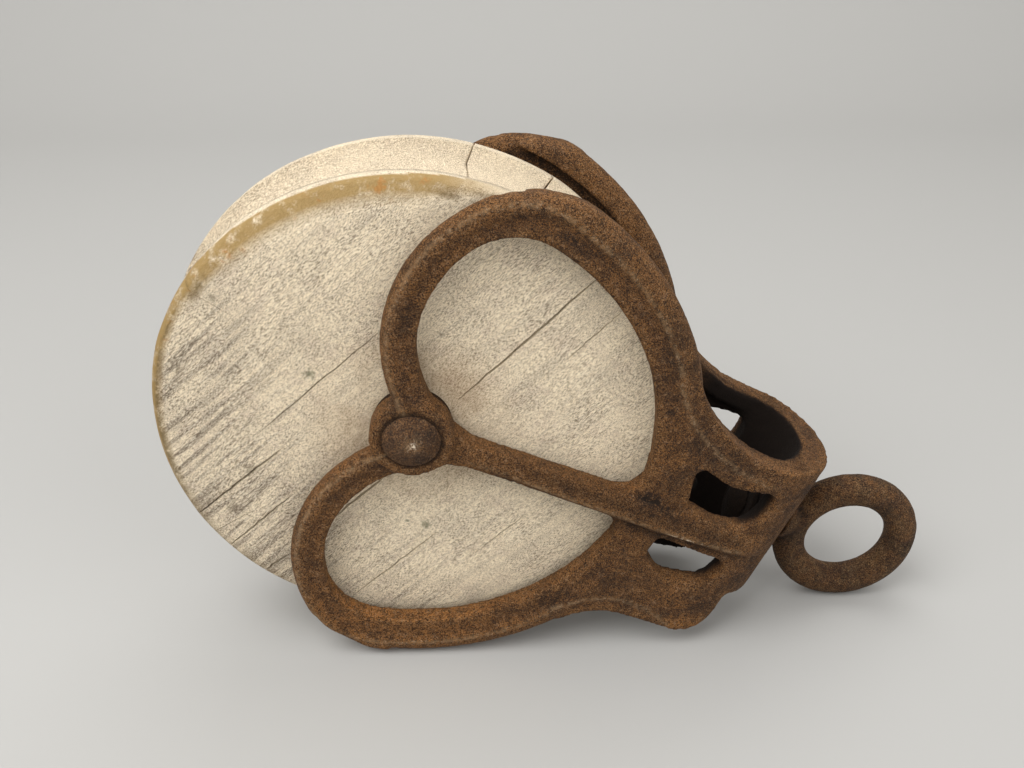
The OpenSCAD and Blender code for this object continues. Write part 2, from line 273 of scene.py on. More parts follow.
def value_noise(points, size, seed):
    """Random numbers from -1 to 1 at the corners of cubes of this size, blended smoothly between them."""
    table = np.random.default_rng(seed).uniform(-1, 1, (32, 32, 32))
    scaled = np.asarray(points, float) / size
    cell = np.floor(scaled).astype(int)
    part = scaled - cell
    part = part * part * (3 - 2 * part)
    total = np.zeros(len(scaled))
    for corner in np.ndindex(2, 2, 2):
        weight = np.prod(np.where(corner, part, 1 - part), axis=1)
        index = (cell + corner) % 32
        total += weight * table[index[:, 0], index[:, 1], index[:, 2]]
    return total


def smoothstep(low, high, value):
    """0 below low, 1 above high, and an S-shaped blend between."""
    t = np.clip((value - low) / (high - low), 0, 1)
    return t * t * (3 - 2 * t)


def vertex_array(mesh, what="co"):
    """A mesh's vertex positions or normals as an array of rows."""
    source, field = (mesh.vertices, "co") if what == "co" else (mesh.vertex_normals, "vector")
    flat = np.empty(len(mesh.vertices) * 3, np.float32)
    source.foreach_get(field, flat)
    return flat.reshape(-1, 3).astype(float)


def neighbour_mean(mesh, values):
    """The mean of each vertex's neighbours, along the mesh's edges."""
    pairs = np.empty(len(mesh.edges) * 2, np.int32)
    mesh.edges.foreach_get("vertices", pairs)
    a, b = pairs.reshape(-1, 2).T
    count = np.bincount(a, minlength=len(values)) + np.bincount(b, minlength=len(values))
    columns = values.reshape(len(values), -1)
    total = np.stack([
        np.bincount(a, weights=column[b], minlength=len(values))
        + np.bincount(b, weights=column[a], minlength=len(values))
        for column in columns.T], axis=1)
    return (total / np.maximum(count, 1)[:, None]).reshape(values.shape)


def store(mesh, name, values):
    """Keeps one number per vertex as an attribute that a material reads."""
    layer = mesh.attributes.new(name, "FLOAT", "POINT")
    layer.data.foreach_set("value", values.astype(np.float32))


def add_object(name, mesh):
    """Links a mesh to the scene as an object at the origin."""
    piece = bpy.data.objects.new(name, mesh)
    bpy.context.scene.collection.objects.link(piece)
    return piece


def applied(piece):
    """Turns a piece's modifiers into its mesh."""
    graph = bpy.context.evaluated_depsgraph_get()
    mesh = bpy.data.meshes.new_from_object(piece.evaluated_get(graph))
    piece.modifiers.clear()
    piece.data = mesh
    return mesh


def grid_faces(rows, columns, wrap_rows, wrap_columns):
    """Quads of a grid of rows by columns of vertices, closed along either way where asked."""
    i = np.arange(rows if wrap_rows else rows - 1)
    j = np.arange(columns if wrap_columns else columns - 1)
    i, j = (part.ravel() for part in np.meshgrid(i, j, indexing="ij"))
    next_i, next_j = (i + 1) % rows, (j + 1) % columns
    corners = (i, j), (i, next_j), (next_i, next_j), (next_i, j)
    return np.stack([row * columns + column for row, column in corners], axis=1)


def grid_mesh(name, points, wrap_rows=True, wrap_columns=True):
    """A mesh from an array of shape rows, columns, 3, with outward faces."""
    rows, columns = points.shape[:2]
    mesh = bpy.data.meshes.new(name)
    faces = grid_faces(rows, columns, wrap_rows, wrap_columns)
    mesh.from_pydata(points.reshape(-1, 3), [], faces.tolist())
    mesh.validate()
    return mesh


class Value:
    """A socket that can be used in plain arithmetic; each operator adds its Math node."""

    def __init__(self, maker, socket):
        self.maker = maker
        self.socket = socket

    def math(self, operation, *others):
        return self.maker.node("ShaderNodeMath", {"operation": operation}, [self, *others])

    def __add__(self, other):
        return self.math("ADD", other)

    __radd__ = __add__

    def __mul__(self, other):
        return self.math("MULTIPLY", other)

    __rmul__ = __mul__

    def __sub__(self, other):
        return self.math("SUBTRACT", other)

    def __rsub__(self, other):
        return self.maker.node("ShaderNodeMath", {"operation": "SUBTRACT"}, [other, self])

    def band(self, low, high):
        """0 below low, 1 above high, smooth between; with low above high it falls instead."""
        return self.maker.node(
            "ShaderNodeMapRange", {"interpolation_type": "SMOOTHSTEP", "clamp": True},
            {"Value": self, "From Min": low, "From Max": high, "To Min": 0.0, "To Max": 1.0})


class Finish:
    """Builds one material's nodes."""

    def __init__(self, name):
        self.material = bpy.data.materials.new(name)
        self.material.use_nodes = True
        self.tree = self.material.node_tree
        self.shader = next(n for n in self.tree.nodes if n.type == "BSDF_PRINCIPLED")
        self.place = self.node("ShaderNodeTexCoord", {}, {}, output="Object")

    def node(self, kind, settings, inputs, output=0):
        """Adds a node, makes its settings, then fills its sockets with numbers, colours or links."""
        made = self.tree.nodes.new(kind)
        for name, value in settings.items():
            setattr(made, name, value)
        pairs = enumerate(inputs) if isinstance(inputs, (list, tuple)) else inputs.items()
        for name, value in pairs:
            self.fill(made.inputs[name], value)
        return Value(self, made.outputs[output])

    def fill(self, socket, value):
        """Links a value to a socket, or types it in."""
        if isinstance(value, Value):
            self.tree.links.new(value.socket, socket)
        else:
            socket.default_value = value

    def noise(self, size, detail=4.0, roughness=0.55, place=None):
        """Noise whose lumps measure about size, in metres."""
        return self.node(
            "ShaderNodeTexNoise", {"noise_dimensions": "3D"},
            {"Vector": place or self.place, "Scale": 1.0 / size, "Detail": detail, "Roughness": roughness})

    def distance(self, place, point):
        """How far a shaded point lies from a given one, in the units of place."""
        return self.node("ShaderNodeVectorMath", {"operation": "DISTANCE"}, [place, point], output="Value")

    def attribute(self, name):
        """A number that the mesh keeps at each vertex."""
        return self.node("ShaderNodeAttribute", {"attribute_name": name}, {}, output="Fac")

    def mix(self, factor, first, second):
        """Colour between first and second; the Mix node's colour sockets are reached by number."""
        return self.node(
            "ShaderNodeMix", {"data_type": "RGBA", "clamp_factor": True},
            {0: factor, 6: self.colour(first), 7: self.colour(second)}, output=2)

    @staticmethod
    def colour(value):
        """A colour as a socket takes it, with its alpha."""
        return value if isinstance(value, Value) else (*tuple(value)[:3], 1.0)

    def bump(self, height, distance, strength=1.0):
        """A normal bent by a height, which counts as this distance where it is 1."""
        inputs = {"Height": height, "Distance": distance, "Strength": strength}
        return self.node("ShaderNodeBump", {}, inputs)

    def finish(self, colour, roughness, normal=None, specular=0.2):
        """Gives the shader its colour, roughness and normal."""
        self.fill(self.shader.inputs["Base Color"], self.colour(colour))
        self.fill(self.shader.inputs["Roughness"], roughness)
        self.shader.inputs["Specular IOR Level"].default_value = specular
        if normal is not None:
            self.fill(self.shader.inputs["Normal"], normal)
        return self.material


def grain_place(made, along, across):
    """Coordinates that run with the grain: stretched along it, fine across it."""
    turned = made.node(
        "ShaderNodeVectorRotate", {"rotation_type": "Y_AXIS"},
        {"Vector": made.place, "Center": tuple(AXLE), "Angle": GRAIN_ANGLE})
    return made.node(
        "ShaderNodeMapping", {"vector_type": "POINT"},
        {"Vector": turned, "Scale": (1.0 / along, 1.0 / across, 1.0 / across)})


def marked(made, colour, settings):
    """Adds the small dark marks, each a soft blot with a ragged edge."""
    ragged = made.noise(1.3 * MM, 3, 0.6)
    for x, z, size, green in MARKS:
        centre = (AXLE[0] + x * MM, -SHEAVE_HALF, AXLE[2] + z * MM)
        reach = made.distance(made.place, centre) * (1.0 / (size * MM)) + ragged * 1.3
        tint = MOULD_GREEN if green else settings.dark
        colour = made.mix(reach.band(1.25, 0.65) * (0.7 if green else 0.5), colour, tint)
    return colour


def weathered_wood(settings):
    """Bleached wood: grey streaks, dense short dark pores, a stained lip and a few marks.

    Streaks, fibres and pores run with the grain. The mesh's attributes say where the lip is stained (rim
    and seam), where dirt lies, where iron has stained the wood and shade from the frame is painted round the
    axle (rusted), where the groove is, and where shade is painted on the cracks' walls (deep).
    """
    made = Finish("weathered_wood")
    rim = made.attribute("rim")
    dirt = made.attribute("dirt")
    deep = made.attribute("deep")
    groove = made.attribute("groove")
    streaks = made.noise(1.0, 5, 0.6, grain_place(made, 38 * MM, 2.6 * MM))
    fibres = made.noise(1.0, 3, 0.7, grain_place(made, 9 * MM, 0.32 * MM))
    pores = made.noise(1.0, 1, 0.5, grain_place(made, 0.95 * MM, 0.19 * MM))
    grains = made.noise(0.30 * MM, 1, 0.6)
    clouds = made.noise(22 * MM, 5, 0.65)
    patches = made.noise(9 * MM, 4, 0.65)
    worn = 1.0 - groove * 0.6
    grey = (streaks.band(0.46, 0.66) * (0.30 + dirt * 0.85) + clouds.band(0.46, 0.62) * 0.26
            + dirt * 0.16)
    colour = made.mix(grey * worn + groove * 0.32, settings.pale, settings.grey)
    colour = made.mix(patches.band(0.50, 0.68) * 0.32 * worn, colour, WARM_WOOD)
    colour = made.mix(fibres.band(0.50, 0.66) * 0.50 * worn, colour, settings.grey)
    soot = streaks.band(0.52, 0.64) * fibres.band(0.36, 0.60) * (0.06 + dirt * 0.80) * worn
    colour = made.mix(soot, colour, SOOT)
    speckle = pores.band(0.56, 0.64) * (0.45 + clouds.band(0.40, 0.62) * 0.30 + dirt * 0.15)
    colour = made.mix(speckle * (1.0 - groove * 0.35), colour, settings.dark)
    colour = made.mix(grains.band(0.56, 0.68) * 0.3, colour, settings.dark)
    colour = made.mix(pores.band(0.48, 0.40) * 0.5, colour, BLEACHED)
    stained = rim * made.noise(7 * MM, 5, 0.7).band(0.24, 0.52)
    colour = made.mix(stained * 0.95, colour, settings.stain)
    spotted = rim * made.noise(6 * MM, 3, 0.6).band(0.60, 0.70)
    colour = made.mix(spotted * 0.6, colour, RUST_SPOT)
    seam = made.attribute("seam") * made.noise(4 * MM, 4, 0.65).band(0.30, 0.52)
    colour = made.mix(seam * 0.85, colour, SEAM)
    # Round the axle: a rust stain, and painted shade from the frame
    rust_stain_and_shade = made.attribute("rust_stain_and_shade") * clouds.band(0.30, 0.60)
    colour = made.mix(rust_stain_and_shade * 0.45, colour, IRON_STAIN_AND_SHADE)
    colour = marked(made, colour, settings)
    # Painted shade on the cracks' walls
    colour = made.mix(deep, colour, CRACK_SHADE)
    height = fibres * 0.7 + streaks * 0.6 - pores.band(0.53, 0.66) * 0.7 - grains * 0.35
    return made.finish(colour, 0.72 + fibres * 0.16, made.bump(height, 0.35 * MM, 0.7))


def rusty_iron(settings, name, darker=0.0, olive=0.0, shine=0.0):
    """Rust in layers: dark scale, brown and orange, mottled by finer noise, then soil, worn lines and chips,
    with painted light and shade.

    The mesh's attributes say how convex the skin is (edge and crest), how concave or shut in (hollow and
    valley), where the rust is fresh and where light is painted on upward faces (bright), and where the raised
    line runs. Broad crests are painted lighter and valleys darker, hollow is painted shade, and the pin's
    dome gets a painted highlight.
    """
    made = Finish(name)
    edge = made.attribute("edge")
    hollow = made.attribute("hollow")
    bright = made.attribute("bright")
    crest = made.attribute("crest")
    valley = made.attribute("valley")
    line = made.attribute("line")
    patches = made.noise(13 * MM, 5, 0.6)
    blotches = made.noise(3.6 * MM, 5, 0.68)
    mottle = made.noise(2.4 * MM, 5, 0.78)
    grit = made.noise(0.55 * MM, 3, 0.7)
    sand = made.noise(0.30 * MM, 1, 0.6)
    # Broad crests painted lighter and broad valleys painted darker, as light and shade fall on them
    brown = (patches.band(0.36, 0.64) * 0.50 + blotches.band(0.38, 0.64) * 0.45 + edge * 0.35
             + crest * 0.40 + bright * 0.35 - valley * 0.35 - darker)
    colour = made.mix(brown, settings.dark, settings.brown)
    orange = (bright * blotches.band(0.36, 0.58) + edge * 0.45 * blotches.band(0.38, 0.6)
              + made.noise(6 * MM, 4, 0.6).band(0.58, 0.70) * 0.30)
    colour = made.mix(orange * (1.0 - darker), colour, settings.orange)
    if olive:
        colour = made.mix(made.noise(6 * MM, 4).band(0.42, 0.62) * olive, colour, OLIVE_RUST)
    colour = made.mix(mottle.band(0.54, 0.64) * (0.45 - 0.6 * darker), colour, DRY_RUST)
    colour = made.mix(mottle.band(0.50, 0.40) * 0.75, colour, DAMP_RUST)
    colour = made.mix(grit.band(0.49, 0.60), colour, PIT_BLACK)
    colour = made.mix(sand.band(0.54, 0.64) * (0.55 - 0.6 * darker), colour, settings.orange)
    # Pale grit, with more of it on broad crests as painted light
    colour = made.mix(grit.band(0.43, 0.33) * (0.35 + crest * 0.45 - 0.5 * darker), colour, PALE_GRIT)
    colour = made.mix(sand.band(0.46, 0.38) * 0.6, colour, PIT_BLACK)
    # Near black over random patches, and painted shade in broad valleys, less on crests and lit places
    soil_and_shade_amount = valley * 0.7 + patches.band(0.52, 0.38) * 0.6 - crest * 0.2 - bright * 0.4
    colour = made.mix(soil_and_shade_amount * made.noise(1.6 * MM, 5, 0.72).band(0.60, 0.44), colour, SOIL_AND_SHADE)
    # Painted shade, near black, in the creases and the shut-in places
    colour = made.mix(hollow, colour, SHADE_BLACK)
    worn = line * made.noise(2.2 * MM, 3).band(0.36, 0.60)
    colour = made.mix(worn * (0.75 - darker), colour, WORN_LINE)
    specks = made.noise(0.8 * MM, 2, 0.5).band(0.60, 0.64)
    specks = specks * (0.04 + edge * 0.4 + line * 0.4 + bright * 0.1)
    colour = made.mix(specks * (1.0 - hollow), colour, settings.pale)
    # Pale chips on the rib's line, and a painted highlight on the pin's dome
    chips = line.band(0.62, 0.95) * made.noise(1.4 * MM, 3, 0.65).band(0.51, 0.57)
    colour = made.mix(chips, colour, CHIP_AND_GLINT)
    height = grit * 0.65 + sand * 0.35 + blotches * 0.9
    roughness = 0.56 - shine + grit * 0.30 + hollow * 0.4
    return made.finish(colour, roughness, made.bump(height, 0.9 * MM), specular=0.22 + shine)


def rough_skin(name, node, voxel, smoothing, pitting, seed, shade, line=None, wear=None, swell=None):
    """A CAD node's shape with a cast or forged skin; returns the piece, its points and its normals.

    The node's own surface is remeshed in even quads and smoothed, which rounds every edge. Each vertex then
    moves along its normal by lumps and pits, and the skin is clipped so that it stays in the CAD box.
    Attributes keep how convex the skin is (edge, and crest over a wider stretch) and how concave (hollow and
    valley), from the distance between a vertex and the mean of its neighbours; hollow is painted shade in the
    creases. shade(points, normals) adds more painted shade, from 0 to 1. line(points, normals) gives a fine
    raised line, from 0 to 1, which is LINE_HEIGHT high where it is 1. wear(points), from 0 to 1, says where
    the skin is smoothed further, and swell(points, normals) moves it.
    """
    source = frame["nodes"][node]
    mesh = source.data.copy()
    whole = bmesh.new()
    whole.from_mesh(mesh)
    bmesh.ops.remove_doubles(whole, verts=whole.verts, dist=0.002 * MM)
    whole.to_mesh(mesh)
    whole.free()
    mesh.materials.clear()
    piece = add_object(name, mesh)
    skin = piece.modifiers.new("skin", "REMESH")
    skin.mode = "VOXEL"
    skin.voxel_size = voxel
    soften = piece.modifiers.new("soften", "SMOOTH")
    soften.factor = 0.5
    soften.iterations = smoothing
    mesh = applied(piece)
    points = vertex_array(mesh)
    normals = vertex_array(mesh, "normal")
    if wear:
        share = wear(points)[:, None]
        for _ in range(WEAR_STEPS):
            points += share * (neighbour_mean(mesh, points) - points)
    if swell:
        points += swell(points, normals)
    raised = line(points, normals) if line else np.zeros(len(points))
    points += normals * (LINE_HEIGHT * raised)[:, None]
    store(mesh, "line", raised)
    bend = ((points - neighbour_mean(mesh, points)) * normals).sum(axis=1) / voxel
    for _ in range(EDGE_STEPS):
        bend = neighbour_mean(mesh, bend)
    broad = bend
    for _ in range(CREST_STEPS):
        broad = neighbour_mean(mesh, broad)
    broad = broad / broad.std()
    store(mesh, "edge", smoothstep(0.05, 0.20, bend))
    store(mesh, "crest", smoothstep(0.2, 1.6, broad))
    store(mesh, "valley", smoothstep(0.1, 1.4, -broad))
    # Painted shade in the creases
    creases = 0.55 * smoothstep(0.04, 0.18, -bend)
    store(mesh, "hollow", np.maximum(creases, shade(points, normals)))
    lumps = 0.5 * value_noise(points, 7 * MM, seed) + 0.35 * value_noise(points, 2.9 * MM, seed + 1)
    pits = smoothstep(0.25, 0.9, value_noise(points, 1.7 * MM, seed + 2))
    points += normals * (pitting * (0.45 * lumps - 0.30 - 0.55 * pits))[:, None]
    low, high = node_size(node)
    low[1], high[1] = CAD_BOX[0][1], CAD_BOX[1][1]
    points = np.clip(points, low, high)
    mesh.vertices.foreach_set("co", points.astype(np.float32).ravel())
    mesh.update()
    mesh.polygons.foreach_set("use_smooth", np.ones(len(mesh.polygons), bool))
    return piece, points, normals


class PULLEY_OT_frame(bpy.types.Operator):
    """The cast iron frame with its rough, rusty skin"""

    bl_idname = "pulley.frame"
    bl_label = "Cast frame"

    def execute(self, context):
        settings = context.scene.pulley_iron
        piece, points, normals = rough_skin(
            "cast_frame", "frame", settings.voxel, 3, settings.pitting, 11,
            self.painted_shade, self.casting_line, self.worn_toes, self.rib)
        u, v, _ = pulley_axes(points).T / MM
        low_guard = smoothstep(-55, -85, v) * smoothstep(-30, 10, u)
        shoulder = smoothstep(-38, -46, v) * smoothstep(120, 135, u)
        # rounds and top give painted light on upward rounded surfaces; low_guard and shoulder are fresh
        # orange rust
        rounds = smoothstep(0.9, 0.45, np.abs(normals @ ALONG_W))
        top = smoothstep(0.2, 0.8, normals[:, 2])
        bright = 0.95 * low_guard * (0.5 + 0.5 * rounds) + 0.95 * shoulder + 0.25 * rounds * top
        store(piece.data, "bright", np.clip(bright, 0, 1))
        piece.data.materials.append(rusty_iron(settings, "rusty_casting"))
        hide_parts("frame")
        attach(piece, "frame")
        return {"FINISHED"}

    @staticmethod
    def painted_shade(points, normals):
        """How much shade is painted on a place, from 0 to 1.

        The walls that face each other near the crown carry dark rust and painted shade. Painted shade also
        lies on two bands along the bar's rib, one under its lower edge and one over its middle, and on a ring
        round each of the pin's heads.
        """
        u, v, w = pulley_axes(points).T / MM
        facing = -(normals @ ALONG_W) * np.sign(w)
        forward = -(normals @ ALONG_U)
        between = smoothstep(88, 118, u) * smoothstep(30, 25, np.abs(w))
        inside = between * smoothstep(-0.2, 0.5, np.maximum(facing, forward))
        flank = 0.45 * np.exp(-((v + RIB_HALF) / 1.8) ** 2) + 0.55 * np.exp(-((v - 2.6) / 2.4) ** 2)
        flank = flank * smoothstep(20, 60, u) * smoothstep(142, 128, u) * (np.abs(w) > 28)
        ring = 0.75 * smoothstep(12.6, 11.4, np.hypot(u, v))
        return np.maximum(np.maximum(inside, flank), ring)

    @staticmethod
    def rib(points, normals):
        """Swells the bar's rib where it crosses the neck: half an ellipse across, and a long bump along.

        The bump grows from the middle of the bar to the windows, and fades over the round of the crown.
        """
        u, v, w = pulley_axes(points).T / MM
        across = np.sqrt(np.clip(1 - (v / RIB_HALF) ** 2, 0, 1))
        along = smoothstep(30, 118, u) * smoothstep(157, 138, u)
        face = smoothstep(-0.1, 0.3, normals @ ALONG_W * np.sign(w)) * smoothstep(18, 22, np.abs(w))
        return (RIB_SWELL * across * along * face * np.sign(w))[:, None] * ALONG_W

    @staticmethod
    def worn_toes(points):
        """Where the deep side of the guard's bead runs out under each lobe, and where the bar's rib ends."""
        u, v, w = pulley_axes(points).T / MM
        angle = np.degrees(np.arctan2(np.abs(v), u))
        toe = smoothstep(9, 4, np.abs(angle - TOE_ANGLE)) * smoothstep(98, 101, np.hypot(u, v))
        rib = smoothstep(11, 6, np.hypot(u - RIB_END, v)) * smoothstep(30, 32, np.abs(w))
        return np.maximum(toe, rib)

    @staticmethod
    def casting_line(points, normals):
        """A fine line on the cheeks' faces, a fixed distance inside the outline, and one along the rib.

        It follows the guard's circle, then the arms' hollow curves one way and the lobes' arcs the other.
        The lobes above and below the centreline are alike, so their arcs use v without its sign.
        """
        u, v, w = pulley_axes(points).T / MM
        high = np.abs(v)
        angle = np.degrees(np.arctan2(high, u))
        inset = GUARD_OUT - np.hypot(u, v)
        middle = LINE_INSET + (LOBE_LINE_INSET - LINE_INSET) * smoothstep(72, 92, angle)
        beyond = (u - CORNER[0]) * (LIMB[1] - CORNER[1]) > (high - CORNER[1]) * (LIMB[0] - CORNER[0])
        for zone, (x, y, r) in ((~beyond, CORNER), (beyond, LIMB)):
            inset = np.where((angle > GUARD_SPAN[1]) & zone, r - np.hypot(u - x, high - y), inset)
        for side, (x, y, r) in ((v > 0, UPPER_WAIST), (v < 0, LOWER_WAIST)):
            inset = np.where(side & (angle < GUARD_SPAN[0]), np.hypot(u - x, v - y) - r, inset)
        face = smoothstep(0.35, 0.8, normals @ ALONG_W * np.sign(w)) * smoothstep(28, 30.5, np.abs(w))
        outline = 0.55 * np.exp(-((inset - middle) / LINE_WIDTH) ** 2) * smoothstep(140, 128, u)
        chips = 0.7 + 0.3 * np.exp(-((u - RIB_CHIPS) / 9) ** 2)
        rib = chips * np.exp(-((v + 0.35 * RIB_HALF) / LINE_WIDTH) ** 2)
        rib = rib * smoothstep(18, 40, u) * smoothstep(142, 132, u)
        return face * np.maximum(outline, rib)


class PULLEY_OT_eye(bpy.types.Operator):
    """The forged swivel eye"""

    bl_idname = "pulley.eye"
    bl_label = "Swivel eye"

    def execute(self, context):
        settings = context.scene.pulley_iron
        piece, _, normals = rough_skin(
            "forged_eye", "swivel_eye", 0.8 * MM, 3, 0.9 * settings.pitting, 23, self.painted_shade)
        # Painted light on the eye's upward faces
        store(piece.data, "bright", 0.12 * smoothstep(0.1, 0.9, normals[:, 2]))
        piece.data.materials.append(rusty_iron(settings, "rusty_forging", darker=0.50, olive=0.40))
        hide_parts("swivel_eye")
        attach(piece, "eye")
        return {"FINISHED"}

    @staticmethod
    def painted_shade(points, normals):
        """Painted shade on the shank and its head inside the crown."""
        u = pulley_axes(points)[:, 0]
        return 0.95 * smoothstep(CROWN_U, CROWN_U - 3 * MM, u)


class PULLEY_OT_pin(bpy.types.Operator):
    """The riveted pin, and the washers, burr and bush in dark iron"""

    bl_idname = "pulley.pin"
    bl_label = "Pin and washers"

    def execute(self, context):
        settings = context.scene.pulley_iron
        dark = rusty_iron(settings, "dark_iron", darker=0.40, shine=0.06)
        for number, (name, node, body) in enumerate([
                ("riveted_pin", "axle_pin", "frame"), ("pin_burr", "axle_burr", "frame"),
                ("near_washer", "near_thrust_washer", "frame"), ("far_washer", "far_thrust_washer", "frame"),
                ("shank_washer", "swivel_washer", "eye"), ("iron_bush", "hub_bushing", "sheave")]):
            piece, points, _ = rough_skin(
                name, node, 0.45 * MM, 2, 0.5 * settings.pitting, 40 + number, self.painted_shade, self.dome_glint)
            store(piece.data, "bright", np.zeros(len(points)))
            piece.data.materials.append(dark)
            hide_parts(node)
            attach(piece, body)
        return {"FINISHED"}

    @staticmethod
    def dome_glint(points, normals):
        """A painted highlight on top of the pin's domed head: pale flecks on a slight raised patch."""
        u, v, w = pulley_axes(points).T / MM
        return 0.9 * np.exp(-((u - 0.5) ** 2 + (v - 1) ** 2) / 3.4 ** 2) * (w > 36)

    @staticmethod
    def painted_shade(points, normals):
        """Painted shade round the foot of the pin's heads, and on everything inside the crown."""
        u, v, w = pulley_axes(points).T / MM
        foot = smoothstep(10.2, 11.0, np.hypot(u, v)) * smoothstep(38, 36, np.abs(w))
        return np.maximum(0.7 * foot, 0.95 * smoothstep(100, 110, u))


def sheave_profile(settings):
    """Radius and height along the axle of points round the sheave's section, from the bore out and back.

    The section is a ring: face, rounded lip, groove as a circular arc, lip, face, bore. Points lie at even
    steps of arc length along each stretch.
    """
    half, outer, bore = SHEAVE_HALF, SHEAVE_R, BUSHING_R + 0.05 * MM
    groove_half = half - settings.lip_width
    depth = settings.groove_depth
    arc_r = (groove_half ** 2 + depth ** 2) / (2 * depth)
    arc_mid = outer - depth + arc_r
    sweep = math.asin(groove_half / arc_r)
    wear = settings.rim_round
    turn = np.linspace(0, math.pi / 2, LIP_STEPS)
    face_r = np.linspace(bore, outer - wear, FACE_STEPS)
    lip = np.stack([outer - wear + wear * np.sin(turn), half - wear + wear * np.cos(turn)], axis=1)
    swing = np.linspace(sweep, -sweep, GROOVE_STEPS)
    groove = np.stack([arc_mid - arc_r * np.cos(swing), arc_r * np.sin(swing)], axis=1)
    near = np.concatenate([np.stack([face_r, np.full(FACE_STEPS, half)], axis=1), lip])
    far = near[::-1] * (1, -1)
    return np.concatenate([near, groove, far])


